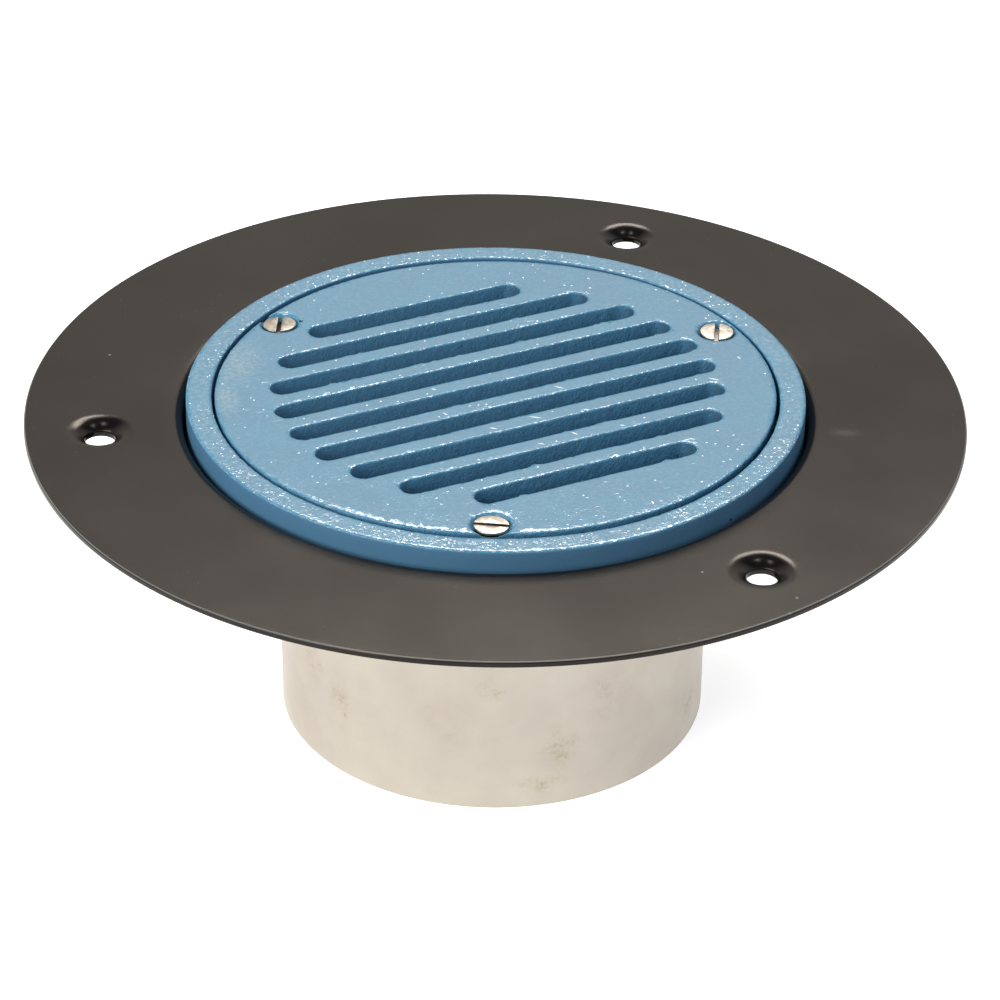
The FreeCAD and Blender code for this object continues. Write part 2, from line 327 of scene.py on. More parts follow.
def grate_tree():
    """Round plate with rows of round-ended slots, whose outlines wander as a sand mould's do."""
    tree, add, given = new_tree(
        "Grate blank", "Radius, Bottom, Top, Slot pitch, Slot width, Slot draft, Slot end circle, Slots:Int, "
        "Slot shift, Slot lean, Wander, Notch, Seed, Out of round, Long axis, Screw circle, Recess radius, "
        "Recess depth, Seat radius, Hole radius, First screw")
    pitch, end_circle, top = given["Slot pitch"], given["Slot end circle"], given["Top"]
    middle = add(MATH, (add(MATH, (given["Slots"], 1.0), "SUBTRACT"), 0.5), "MULTIPLY")
    number = add(MATH, (add("GeometryNodeInputIndex"), middle), "SUBTRACT")
    row = add(MATH, (number, pitch), "MULTIPLY")
    rows = add("GeometryNodePoints", {"Count": given["Slots"], "Position": add(JOIN_XYZ, {1: row})})
    rows = add("GeometryNodeStoreNamedAttribute", {"Geometry": rows, "Name": "row", "Value": row},
               data_type="FLOAT", domain="POINT")
    half = add(MATH, (given["Slot width"], 0.5), "MULTIPLY")
    outlines = patterned(add, rows, (0.0, 0.0, 0.0), add(CIRCLE, {"Resolution": SLOT_STEPS, "Radius": half}))
    # Each circle is pulled apart into a slot with its ends on the end circle; the rows lean a little.
    this_row = add("GeometryNodeInputNamedAttribute", {"Name": "row"}, data_type="FLOAT")
    place = add("GeometryNodeInputPosition")
    x, y = add(SPLIT_XYZ, (place,)).outputs[:2]
    side = add(MATH, (x,), "SIGN")
    row_shift = add(MATH, (this_row, given["Slot lean"], given["Slot shift"]), "MULTIPLY_ADD")
    pull = add(MATH, (side, half_chord(add, end_circle, this_row), row_shift), "MULTIPLY_ADD")
    pulled = add(MOVE, {"Geometry": outlines, "Offset": add(JOIN_XYZ, (pull,))})
    fine = add("GeometryNodeResampleCurve", {"Curve": pulled, "Length": 0.5 * MM}, mode="LENGTH")
    # The outline wanders over some 9 mm, and sand that broke away left a lump here and there on the near side.
    drift, grit = (
        add(NOISE, {"Vector": place, "W": given["Seed"], "Scale": per_mm(width), "Detail": detail,
                    "Roughness": roughness}, noise_dimensions="4D")
        for width, detail, roughness in ((9.0, 4.0, 0.72), (5.0, 3.0, 0.65)))
    centred = add(VECTOR, (drift.outputs[1], MIDDLE), "SUBTRACT")
    wander = add(VECTOR, {0: centred, 3: add(MATH, (given["Wander"], 2.0), "MULTIPLY")}, "SCALE")
    broken = add(RANGE, (grit, 0.55, 0.75, 0.0, given["Notch"]))
    near_side = add(MATH, (add(MATH, (y, this_row), "SUBTRACT"), 0.0), "LESS_THAN")
    bite = add(MATH, (near_side, broken), "MULTIPLY")
    shift = add(VECTOR, (wander, add(JOIN_XYZ, {1: bite})), "ADD")
    slots = add(MOVE, {"Geometry": fine, "Offset": add(VECTOR, (shift, LEVEL), "MULTIPLY")})
    # The rim is a little out of round.
    rim = add(CIRCLE, {"Resolution": CASTING_STEPS, "Radius": given["Radius"]})
    aside = add(MATH, (add(MATH, (y, x), "ARCTAN2"), given["Long axis"]), "SUBTRACT")
    swell = add(MATH, (add(MATH, (aside, 2.0), "MULTIPLY"),), "COSINE")
    share = add(MATH, (given["Out of round"], given["Radius"]), "DIVIDE")
    growth = add(MATH, (swell, share), "MULTIPLY")
    rim = add(MOVE, {"Geometry": rim, "Offset": add(VECTOR, {0: place, 3: growth}, "SCALE")})
    edges = add(JOIN, {"Geometry": [slots, rim]})
    plate = add("GeometryNodeFillCurve", {"Curve": edges}, mode="TRIANGLES")
    face = add(SHIFT, {"Geometry": plate, "Translation": add(JOIN_XYZ, {2: top})})
    down = add(JOIN_XYZ, {2: add(MATH, (given["Bottom"], top), "SUBTRACT")})
    walls = add("GeometryNodeExtrudeMesh",
                {"Mesh": face, "Offset": down, "Offset Scale": 1.0, "Individual": False}, mode="FACES")
    # The lower edge of each slot stands back by the draft.
    count = add(MATH, (add(MATH, (y, pitch), "DIVIDE"), middle), "ADD")
    nearest = add(MATH, (add(MATH, (count,), "ROUND"), middle), "SUBTRACT")
    near_row = add(MATH, (nearest, pitch), "MULTIPLY")
    across = add(MATH, (y, near_row), "SUBTRACT")
    across_part = add(RANGE, (across, add(MATH, (half, -1.0), "MULTIPLY"), half, -1.0, 1.0))
    straight = half_chord(add, end_circle, near_row)
    along = add(MATH, (x,), "ABSOLUTE")
    end_part = add(RANGE, (along, straight, add(MATH, (straight, half), "ADD"), 0.0, side))
    draft = add(VECTOR, {0: add(JOIN_XYZ, (end_part, across_part)), 3: given["Slot draft"]}, "SCALE")
    slot_limit = add(MATH, (end_circle, 6.5 * MM), "ADD")
    in_slots = add(MATH, (off_axis(add, place), slot_limit), "LESS_THAN")
    lower = add(MATH, (in_slots, walls.outputs["Top"]), "MULTIPLY")
    drafted = add(MOVE, {"Geometry": walls, "Selection": lower, "Offset": draft})
    # Extruding downwards turns the shell inside out, so it is turned back and closed with the top face.
    shell = add(JOIN, {"Geometry": [face, add("GeometryNodeFlipFaces", {"Mesh": drafted})]})
    blank = add("GeometryNodeMergeByDistance", {"Geometry": shell, "Distance": 1e-06})
    screws = circle_points(add, 3, given["Screw circle"], given["First screw"])
    over = add(MATH, (top, MM), "ADD")
    under = add(MATH, (given["Bottom"], MM), "SUBTRACT")
    recess_floor = add(MATH, (top, given["Recess depth"]), "SUBTRACT")
    slope = add(MATH, (given["Seat radius"], given["Hole radius"]), "SUBTRACT")
    cone = add("GeometryNodeMeshCone", {"Vertices": HOLE_STEPS, "Radius Top": given["Seat radius"],
                                        "Radius Bottom": given["Hole radius"], "Depth": slope})
    cone_lift = add(JOIN_XYZ, {2: add(MATH, (recess_floor, slope), "SUBTRACT")})
    cutters = (plug(add, given["Recess radius"], recess_floor, over), plug(add, given["Hole radius"], under, over),
               add(SHIFT, {"Geometry": cone, "Translation": cone_lift}))
    cuts = [patterned(add, *screws, cutter) for cutter in cutters]
    close_tree(add, given, add(BOOLEAN, {"Mesh 1": blank, "Mesh 2": cuts}, "DIFFERENCE", solver="MANIFOLD"))
    return tree


def ring_tree():
    """Bosses under the seat of a turned ring, with the holes for both sets of screws."""
    tree, add, given = new_tree(
        "Ring bosses", "Foot, Seat, Screw circle, First screw, Clamp circle, First clamp, Boss radius, "
        "Clamp boss radius, Screw hole, Hole floor, Clamp hole, Pocket radius, Pocket floor")
    foot, seat = given["Foot"], given["Seat"]
    screws = circle_points(add, 3, given["Screw circle"], given["First screw"])
    clamps = circle_points(add, 3, given["Clamp circle"], given["First clamp"])
    over = add(MATH, (seat, MM), "ADD")
    under = add(MATH, (foot, MM), "SUBTRACT")
    bosses, clamp_bosses, *cuts = (
        patterned(add, *circle, plug(add, given[radius], low, high)) for circle, radius, low, high in (
            (screws, "Boss radius", foot, seat), (clamps, "Clamp boss radius", foot, seat),
            (screws, "Screw hole", given["Hole floor"], over), (clamps, "Clamp hole", under, over),
            (clamps, "Pocket radius", given["Pocket floor"], over)))
    whole = add(BOOLEAN, {"Mesh 2": [given["Geometry"], bosses, clamp_bosses]}, "UNION", solver="MANIFOLD")
    close_tree(add, given, add(BOOLEAN, {"Mesh 1": whole, "Mesh 2": cuts}, "DIFFERENCE", solver="MANIFOLD"))
    return tree


def pan_tree():
    """Flat band of the flange with its three drawn dimples, joined to the turned parts of the pressing."""
    tree, add, given = new_tree(
        "Pan flange", "Band inner, Band outer, Top, Sheet, Hole circle, First hole, Dimple:Object, Dimple rim, "
        "Ledge hole, Ledge hole circle, First ledge hole, Ledge bottom, Ledge top")
    inner, outer, rim = (add(CIRCLE, {"Resolution": steps, "Radius": given[radius]}) for steps, radius in (
        (PAN_STEPS, "Band inner"), (PAN_STEPS, "Band outer"), (DIMPLE_STEPS, "Dimple rim")))
    holes = circle_points(add, 3, given["Hole circle"], given["First hole"])
    edges = add(JOIN, {"Geometry": [inner, outer, patterned(add, *holes, rim)]})
    band = add("GeometryNodeFillCurve", {"Curve": edges}, mode="TRIANGLES")
    low = add(MATH, (given["Top"], given["Sheet"]), "SUBTRACT")
    top, underside = (add(SHIFT, {"Geometry": band, "Translation": add(JOIN_XYZ, {2: height})})
                      for height in (given["Top"], low))
    underside = add("GeometryNodeFlipFaces", {"Mesh": underside})
    dimple = add("GeometryNodeObjectInfo", {"Object": given["Dimple"]}).outputs["Geometry"]
    whole = add(JOIN, {"Geometry": [given["Geometry"], top, underside, patterned(add, *holes, dimple)]})
    sewn = add("GeometryNodeMergeByDistance", {"Geometry": whole, "Distance": 5e-06})
    ledge = circle_points(add, 3, given["Ledge hole circle"], given["First ledge hole"])
    over = add(MATH, (given["Ledge top"], MM), "ADD")
    under = add(MATH, (given["Ledge bottom"], MM), "SUBTRACT")
    cuts = patterned(add, *ledge, plug(add, given["Ledge hole"], under, over))
    close_tree(add, given, add(BOOLEAN, {"Mesh 1": sewn, "Mesh 2": cuts}, "DIFFERENCE", solver="MANIFOLD"))
    return tree


def screw_tree():
    """Slotted screws on given points, each with its own turn and lean."""
    tree, add, given = new_tree("Slotted screws", "Blank:Object, Slot width, Slot depth, Head radius, Head top")
    blank = add("GeometryNodeObjectInfo", {"Object": given["Blank"]}).outputs["Geometry"]
    long_way = add(MATH, (given["Head radius"], 4.0), "MULTIPLY")
    deep = add(MATH, (given["Slot depth"], 2.0), "MULTIPLY")
    bar = add("GeometryNodeMeshCube", {"Size": add(JOIN_XYZ, (long_way, given["Slot width"], deep))})
    cutter = add(SHIFT, {"Geometry": bar, "Translation": add(JOIN_XYZ, {2: given["Head top"]})})
    slotted = add(BOOLEAN, {"Mesh 1": blank, "Mesh 2": cutter}, "DIFFERENCE", solver="MANIFOLD")
    pose = add("GeometryNodeInputNamedAttribute", {"Name": "pose"}, data_type="FLOAT_VECTOR")
    close_tree(add, given, patterned(add, given["Geometry"], pose, slotted))
    return tree


def skin_tree():
    """Skin of a sand casting: grain and ripple, pressed inwards so that no piece grows."""
    tree, add, given = new_tree(
        "Casting skin", "Grain width, Top grain, Wall grain, Ripple width, Ripple, Wander width, Wander, Seed")
    place = add("GeometryNodeInputPosition")
    normal = add("GeometryNodeInputNormal")
    grain, ripple, drift = (
        add(NOISE, {"Vector": place, "W": given["Seed"], "Scale": add(MATH, (1.0, given[width]), "DIVIDE"),
                    "Detail": detail, "Roughness": roughness}, noise_dimensions="4D")
        for width, detail, roughness in (("Grain width", 2.0, 0.6), ("Ripple width", 1.0, 0.5),
                                         ("Wander width", 2.0, 0.5)))
    flat = add(RANGE, (add(SPLIT_XYZ, (normal,)).outputs[2], 0.5, 0.95), interpolation_type="SMOOTHSTEP")
    depth = add(MIX, {0: flat, 2: given["Wall grain"], 3: given["Top grain"]}, data_type="FLOAT")
    # A noise hardly ever passes 0.85, so what it lacks of that is pressed in.
    grain_low, ripple_low = (add(MATH, (noise, 0.85), "SUBTRACT") for noise in (grain, ripple))
    sink = add(MATH, (grain_low, depth), "MULTIPLY")
    whole = add(MATH, (ripple_low, given["Ripple"], sink), "MULTIPLY_ADD")
    inwards = add(VECTOR, {0: normal, 3: whole}, "SCALE")
    centred = add(VECTOR, (drift.outputs[1], MIDDLE), "SUBTRACT")
    swing = add(VECTOR, {0: centred, 3: given["Wander"]}, "SCALE")
    shift = add(VECTOR, (inwards, add(VECTOR, (swing, LEVEL), "MULTIPLY")), "ADD")
    close_tree(add, given, add(MOVE, {"Geometry": given["Geometry"], "Offset": shift}))
    return tree


def cast(piece, smoothing, keep, skin):
    """Give a sharp blank the soft edges and skin of a casting."""
    remesh = piece.modifiers.new("Even mesh", "REMESH")
    remesh.mode = "VOXEL"
    remesh.voxel_size = VOXEL
    remesh.use_smooth_shade = True
    soften = piece.modifiers.new("Soft edges", "SMOOTH")
    soften.factor = 0.5
    soften.iterations = smoothing
    grow(piece, bpy.data.node_groups["Casting skin"], skin)
    thin = piece.modifiers.new("Fewer faces", "DECIMATE")
    thin.ratio = keep
    thin.use_collapse_triangulate = True
    settle(piece, skin["Material"])


def spot(add, place, centre, size, turn=0.0, soft=0.6):
    """Mask of one mark: 1 at its centre and 0 outside an ellipsoid, whose half sizes are in millimetres."""
    local = add("ShaderNodeMapping",
                {"Vector": place, "Location": Vector(centre) * MM, "Scale": Vector(size) * MM,
                 "Rotation": (0.0, 0.0, math.radians(turn))}, vector_type="TEXTURE")
    reach = add(VECTOR, (local,), "LENGTH")
    return add(RANGE, (reach, 1.0 - soft, 1.0, 1.0, 0.0), interpolation_type="SMOOTHSTEP")


def fold(add, operation, *masks):
    """One mask from several: the strongest of them by MAXIMUM, or where they all meet by MULTIPLY."""
    return reduce(lambda whole, mask: add(MATH, (whole, mask), operation), masks)


def new_material(name):
    """A material, the function that adds a node to its tree, and the place on the piece."""
    material = bpy.data.materials.new(name)
    material.use_nodes = True
    add = partial(put, material.node_tree)
    return material, add, add("ShaderNodeTexCoord").outputs["Object"]


def finish_material(material, links):
    """Set the inputs of a material's shader."""
    connect(material.node_tree, material.node_tree.nodes["Principled BSDF"], links)
    return material


def enamel_material(colours, name, wall_tone, top_grain, wall_grain, nib_cell, nib_share, thin, pits,
                    dust=(), scrapes=()):
    """Blue epoxy over sand-cast iron: an even satin skin under a thin clear gloss, which glints on the grain of
    the sand and along every rounded edge, and pale painted glints on nib tips and edge beads. Walls get a duller
    blue, and the gap around the grate and the slot ends that face -X a darker one, all painted shade; dust and
    scrapes are paler."""
    material, add, place = new_material(name)
    facing = add(SPLIT_XYZ, (add("ShaderNodeNewGeometry").outputs["Normal"],))
    upright = add(MATH, (facing.outputs[2],), "ABSOLUTE")
    wall = add(RANGE, (upright, 0.35, 0.75, 1.0, 0.0), interpolation_type="SMOOTHSTEP")
    flat = add(MATH, (1.0, wall), "SUBTRACT")
    # Noises, each with the width of its patches in millimetres and its detail.
    cloud, fine, scuffed, drift, gloss, rub = (
        add(NOISE, {"Vector": place, "Scale": per_mm(width), "Detail": detail}) for width, detail in (
            (11.0, 4.0), (1.2, 3.0), (24.0, 1.0), (20.0, 1.0), (4.0, 3.0), (0.9, 1.0)))
    shade = add(RANGE, (cloud, 0.3, 0.7, 0.0, 0.35))
    paler = add(RANGE, (fine, 0.42, 0.8, 0.0, thin))
    # Painted shade darkens both walls of the gap around the grate, and the ends of the slots that face -X.
    reach = off_axis(add, place)
    beside = add(MATH, (reach, 73.5 * MM, 1.8 * MM), "COMPARE")
    within = add(MATH, (reach, 64.0 * MM), "LESS_THAN")
    ending = add(RANGE, (facing.outputs[0], -0.45, -0.9, 0.0, 0.5))
    # Scrapes some 4 mm long and half a millimetre wide, in three directions and only here and there.
    often = add(RANGE, (scuffed, 0.48, 0.66))
    streaks = []
    for turn, seed in ((24.0, 1.0), (-52.0, 2.0), (80.0, 3.0)):
        lay = add("ShaderNodeMapping", {"Vector": place, "Rotation": (0.0, 0.0, math.radians(turn)),
                                        "Scale": (per_mm(4.0), per_mm(0.5), per_mm(40.0))})
        streak = add(NOISE, {"Vector": lay, "W": seed, "Scale": 1.0, "Detail": 1.0}, noise_dimensions="4D")
        streaks.append(add(RANGE, (streak, 0.74, 0.8)))
    scrape = fold(add, "MULTIPLY", fold(add, "MAXIMUM", *streaks), often, flat)
    marks = [spot(add, place, (x, y, 93.5), (half, 0.4, 0.6), turn, soft=0.9) for x, y, half, turn in scrapes]
    # Nibs: single grains under the coating, in some of the cells and in drifts; their tips are painted pale as
    # glints.
    cells = add(CELLS, {"Vector": place, "Scale": per_mm(nib_cell)})
    nib = add(RANGE, (cells, 0.0, 0.45 / nib_cell, 1.0, 0.0), interpolation_type="SMOOTHSTEP")
    pick = add(SPLIT_XYZ, (cells.outputs[1],))
    share = add(RANGE, (drift, 0.35, 0.65, 0.15 * nib_share, 1.8 * nib_share))
    chosen = add(MATH, (pick.outputs[0], share), "LESS_THAN")
    shown = fold(add, "MULTIPLY", nib, chosen, flat)
    strength = add(RANGE, {0: pick.outputs[1], 3: 0.05, 4: 0.75})
    tip = add(RANGE, (shown, 0.2, 0.7, 0.0, strength))
    # Painted glints: pale beads in some cells along the edges.
    rising = add(RANGE, (upright, 0.6, 0.75))
    falling = add(RANGE, (upright, 0.85, 0.97, 1.0, 0.0))
    edge = add(MATH, (rising, falling), "MULTIPLY")
    drops = add(CELLS, {"Vector": place, "Scale": per_mm(0.9)})
    drop = add(RANGE, (drops, 0.15, 0.5, 1.0, 0.0))
    luck = add(RANGE, {0: add(SPLIT_XYZ, (drops.outputs[1],)), 1: 0.5, 4: 0.4})
    bead = fold(add, "MULTIPLY", drop, luck, edge)
    # The wall tone, the gap's shadow blue and the darkened slot ends are painted shade; the pale nib tips and edge
    # beads are painted glints.
    layers = [(shade, colours.enamel_deep), (paler, colours.scrape), (wall, wall_tone),
              (fold(add, "MULTIPLY", beside, wall, 0.2), colours.shadow),
              (fold(add, "MULTIPLY", ending, wall, within), colours.grime),
              (fold(add, "MAXIMUM", scrape, tip, bead, *marks), colours.scrape)]
    if dust:
        grit = add(NOISE, {"Vector": place, "Scale": per_mm(1.2), "Detail": 4.0})
        lies = add(RANGE, (grit, 0.4, 0.75, 0.08, 0.35))
        patch = fold(add, "MAXIMUM", *(spot(add, place, *mark, soft=0.9) for mark in dust))
        layers.append((add(MATH, (patch, lies), "MULTIPLY"), colours.dust))
    hollow = fold(add, "MAXIMUM", *(spot(add, place, centre, (size, size, size)) for centre, size in pits))
    layers.append((hollow, colours.grime))
    tone = colours.enamel
    for mask, layer in layers:
        tone = add(MIX, {0: mask, 6: tone, 7: layer}, data_type="RGBA")
    # Sand grain of about half a millimetre to one millimetre, coarser to the eye on the walls of the slots.
    sand = add(NOISE, {"Vector": place, "Scale": per_mm(0.8), "Detail": 2.0, "Roughness": 0.6})
    grain = add(MIX, {0: wall, 2: top_grain, 3: wall_grain}, data_type="FLOAT")
    grain = add(MATH, (edge, 0.8, grain), "MULTIPLY_ADD")
    bump = add(BUMP, {"Height": sand, "Strength": grain, "Distance": 0.4 * MM})
    bump = add(BUMP, {"Height": shown, "Strength": 1.0, "Distance": 0.08 * MM, "Normal": bump})
    bump = add(BUMP, {"Height": hollow, "Strength": 1.0, "Distance": 0.5 * MM, "Normal": bump}, invert=True)
    # The gloss is thin on walls, and rubbed off in patches where the surface turns towards an edge.
    clear = add(RANGE, {0: wall, 3: 1.0, 4: 0.2})
    worn = add(RANGE, (rub, 0.5, 0.66, 0.97, 0.0))
    turning = add(RANGE, (upright, 0.99, 0.9997, 1.0, 0.0))
    left = add(MATH, (1.0, add(MATH, (worn, turning), "MULTIPLY")), "SUBTRACT")
    return finish_material(material, {
        "Base Color": tone, "Roughness": add(RANGE, (gloss, 0.3, 0.7, 0.36, 0.46)), "Normal": bump,
        "Specular IOR Level": 0.15, "Coat Weight": add(MATH, (clear, left), "MULTIPLY"), "Coat Roughness": 0.09,
        "Coat IOR": 1.7, "Coat Normal": bump})


def black_material(colours):
    """Dip coating on pressed steel: warm satin black that shows soft reflections, faint clouds, fine specks of
    dust and, at the front, a small chip in the edge."""
    material, add, place = new_material("satin_black_coated_steel")
    cloud = add(NOISE, {"Vector": place, "Scale": per_mm(35.0), "Detail": 5.0})
    shade = add(RANGE, (cloud, 0.3, 0.7, 0.85, 1.2))
    tone = add(MIX, {0: 1.0, 6: colours.black, 7: shade}, data_type="RGBA", blend_type="MULTIPLY")
    # Fine specks in some of the cells, and the single marks that stand out.
    cells = add(CELLS, {"Vector": place, "Scale": per_mm(2.0)})
    speck = add(RANGE, (cells, 0.03, 0.1, 0.15, 0.0))
    pick = add(SPLIT_XYZ, (cells.outputs[1],))
    chosen = add(MATH, (pick.outputs[0], 0.9), "GREATER_THAN")
    marks = [spot(add, place, (x, y, 89.0), (0.5, 0.5, 1.0))
             for x, y in ((-82.0, 67.1), (9.3, -95.8), (24.4, -115.8))]
    marks.append(spot(add, place, (19.5, -121.1, 89.0), (0.9, 0.4, 0.5), 9.0))
    # A thin pale line along the upper edge of the rim is a painted highlight.
    upright = add(SPLIT_XYZ, (add("ShaderNodeNewGeometry").outputs["Normal"],)).outputs[2]
    rising = add(RANGE, (upright, 0.6, 0.8))
    falling = add(RANGE, (upright, 0.97, 0.995, 0.3, 0.0))
    outside = add(MATH, (off_axis(add, place), PAN_HIGH.x - 1.0 * MM), "GREATER_THAN")
    pale = fold(add, "MAXIMUM", add(MATH, (speck, chosen), "MULTIPLY"),
                add(MATH, (fold(add, "MAXIMUM", *marks), 0.35), "MULTIPLY"),
                fold(add, "MULTIPLY", rising, falling, outside))
    smudge = spot(add, place, (75.5, -51.8, 89.0), (6.0, 3.0, 2.0), -30.0, soft=1.0)
    rough = add(RANGE, (cloud, 0.3, 0.7, 0.19, 0.24))
    peel = add(NOISE, {"Vector": place, "Scale": per_mm(0.6), "Detail": 1.0})
    return finish_material(material, {
        "Base Color": add(MIX, {0: pale, 6: tone, 7: colours.dust}, data_type="RGBA"),
        "Roughness": add(MATH, (smudge, 0.1, rough), "MULTIPLY_ADD"),
        "Normal": add(BUMP, {"Height": peel, "Strength": 0.14, "Distance": 0.1 * MM}),
        "Specular IOR Level": 0.25, "Specular Tint": colours.black_sheen})


def stainless_material(colours):
    """Rolled and pickled stainless tube: dull pale metal, a little mottled, with brownish marks from handling."""
    material, add, place = new_material("pickled_stainless_steel")
    # Noises, each with the width of its patches in millimetres, its detail and its roughness.
    cloud, patchy, grit, etch = (
        add(NOISE, {"Vector": place, "Scale": per_mm(width), "Detail": detail, "Roughness": roughness})
        for width, detail, roughness in ((22.0, 6.0, 0.6), (5.0, 6.0, 0.65), (1.1, 3.0, 0.5), (0.5, 2.0, 0.5)))
    mottle = add(RANGE, (cloud, 0.35, 0.7, 0.0, 0.6))
    # Single stains: angle about the pipe, height, half width, half height and strength.
    stains = []
    for angle, height, wide, high, strength in (
            (-160.6, 20.8, 6.0, 9.0, 0.5), (-115.7, 37.3, 7.0, 5.0, 0.45), (-98.0, 17.6, 7.0, 10.0, 0.5),
            (-50.3, 10.9, 6.0, 9.0, 0.5), (160.8, 14.3, 6.0, 9.0, 0.6), (-172.6, 29.1, 8.0, 9.0, 0.4),
            (-103.2, 6.8, 10.0, 4.0, 0.4), (-84.0, 30.0, 14.0, 12.0, 0.2), (-128.0, 24.0, 10.0, 14.0, 0.15)):
        turn = math.radians(angle)
        reach = PIPE_HIGH.x / MM
        centre = (reach * math.cos(turn), reach * math.sin(turn), height)
        mark = spot(add, place, centre, (wide, wide, high), soft=1.0)
        stains.append(add(MATH, (mark, strength), "MULTIPLY"))
    broken = add(RANGE, (patchy, 0.42, 0.66))
    fleck = add(RANGE, (grit, 0.42, 0.66, 0.5, 1.9))
    stained = fold(add, "MULTIPLY", fold(add, "MAXIMUM", *stains), broken, fleck)
    tone = add(MIX, {0: mottle, 6: colours.stainless, 7: colours.stain}, data_type="RGBA")
    return finish_material(material, {
        "Base Color": add(MIX, {0: stained, 6: tone, 7: colours.brown}, data_type="RGBA"), "Metallic": 1.0,
        "Roughness": add(RANGE, (cloud, 0.3, 0.7, 0.42, 0.52)),
        "Normal": add(BUMP, {"Height": etch, "Strength": 0.1, "Distance": 0.1 * MM})})


def steel_material(name, tone, grime, clean_above, rough_low, rough_high):
    """Machined steel of screws and nuts: satin metal, a little blotched, and darkened below its top face, partly
    dirt and partly painted shade in the driver slot and under the head.
    """
    material, add, place = new_material(name)
    cloud = add(NOISE, {"Vector": place, "Scale": per_mm(1.3), "Detail": 5.0})
    shade = add(RANGE, (cloud, 0.35, 0.65, 0.7, 1.05))
    blotched = add(MIX, {0: 1.0, 6: tone, 7: shade}, data_type="RGBA", blend_type="MULTIPLY")
    height = add(SPLIT_XYZ, (place,)).outputs[2]
    clean = add(RANGE, (height, clean_above - 0.25 * MM, clean_above))
    scratch = add(NOISE, {"Vector": place, "Scale": per_mm(0.35), "Detail": 2.0})
    return finish_material(material, {
        "Base Color": add(MIX, {0: clean, 6: grime, 7: blotched}, data_type="RGBA"), "Metallic": 1.0,
        "Roughness": add(RANGE, (cloud, 0.3, 0.7, rough_low, rough_high)),
        "Normal": add(BUMP, {"Height": scratch, "Strength": 0.2, "Distance": 0.05 * MM})})


class DRAIN_OT_grate(bpy.types.Operator):
    """Cast the slotted grate"""

    bl_idname = "drain.grate"
    bl_label = "Grate"

    def execute(self, context):
        sizes, colours = context.scene.drain_sizes, context.scene.drain_colours
        # Single marks in millimetres and degrees: pits by centre and size, dust by centre, half sizes and turn,
        # and scrapes by X, Y, half length and turn.
        # The slots' walls get the dark blue as painted shade.
        material = enamel_material(
            colours, "epoxy_coated_cast_iron_grate", colours.enamel_dark,
            top_grain=0.14, wall_grain=0.9, nib_cell=2.0, nib_share=0.25, thin=0.06,
            pits=(((-31.3, 55.5, 93.4), 0.7), ((-5.2, 1.8, 93.4), 0.4)),
            dust=(((-56.0, 41.0, 93.4), (17.0, 9.0, 4.0), 58.0), ((-66.0, 25.0, 93.4), (12.0, 5.0, 4.0), 75.0)),
            scrapes=((2.7, -17.6, 2.4, 142.0), (15.4, -6.1, 1.9, 131.0), (21.2, -30.7, 0.9, 147.0),
                     (34.1, -44.4, 1.4, 142.0), (66.0, -11.9, 1.1, 95.0), (54.4, -19.3, 2.2, 133.0),
                     (-1.9, -30.4, 1.3, 140.0), (-14.8, 6.7, 1.1, 132.0), (8.2, -29.3, 1.5, 116.0),
                     (-9.6, -18.2, 1.5, 138.0), (-17.6, -6.3, 1.1, 114.0), (-33.6, 61.1, 1.3, 148.0)))
        piece = new_piece("grate_casting")
        # The skin presses every wall back a little, so the blank has narrower slots and a wider rim.
        skin = 0.15 * MM
        grow(piece, grate_tree(), {
            "Radius": sizes.grate_radius + 2 * skin, "Bottom": GRATE_LOW.z,
            "Top": GRATE_LOW.z + sizes.grate_thickness, "Slot pitch": sizes.slot_pitch,
            "Slot width": sizes.slot_width - 2 * skin, "Slot draft": sizes.slot_draft,
            "Slot end circle": sizes.slot_circle - 2 * skin, "Slots": sizes.slot_rows, "Slot shift": 0.55 * MM,
            "Slot lean": -0.03, "Wander": 0.3 * MM, "Notch": 1.1 * MM, "Seed": 3.0,
            "Out of round": 0.6 * MM, "Long axis": math.radians(-5.0), "Screw circle": sizes.screw_circle,
            "Recess radius": 5.2 * MM, "Recess depth": 0.7 * MM, "Seat radius": 4.8 * MM,
            "Hole radius": 3.0 * MM, "First screw": FIRST_SCREW, "Material": material})
        cast(piece, smoothing=4, keep=0.33, skin={
            "Grain width": 1.4 * MM, "Top grain": 0.07 * MM, "Wall grain": 0.6 * MM, "Ripple width": 9.0 * MM,
            "Ripple": 0.12 * MM, "Wander width": 14.0 * MM, "Wander": 0.2 * MM, "Seed": 1.0,
            "Material": material})
        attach(piece, "root")
        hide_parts("grate")
        return {"FINISHED"}


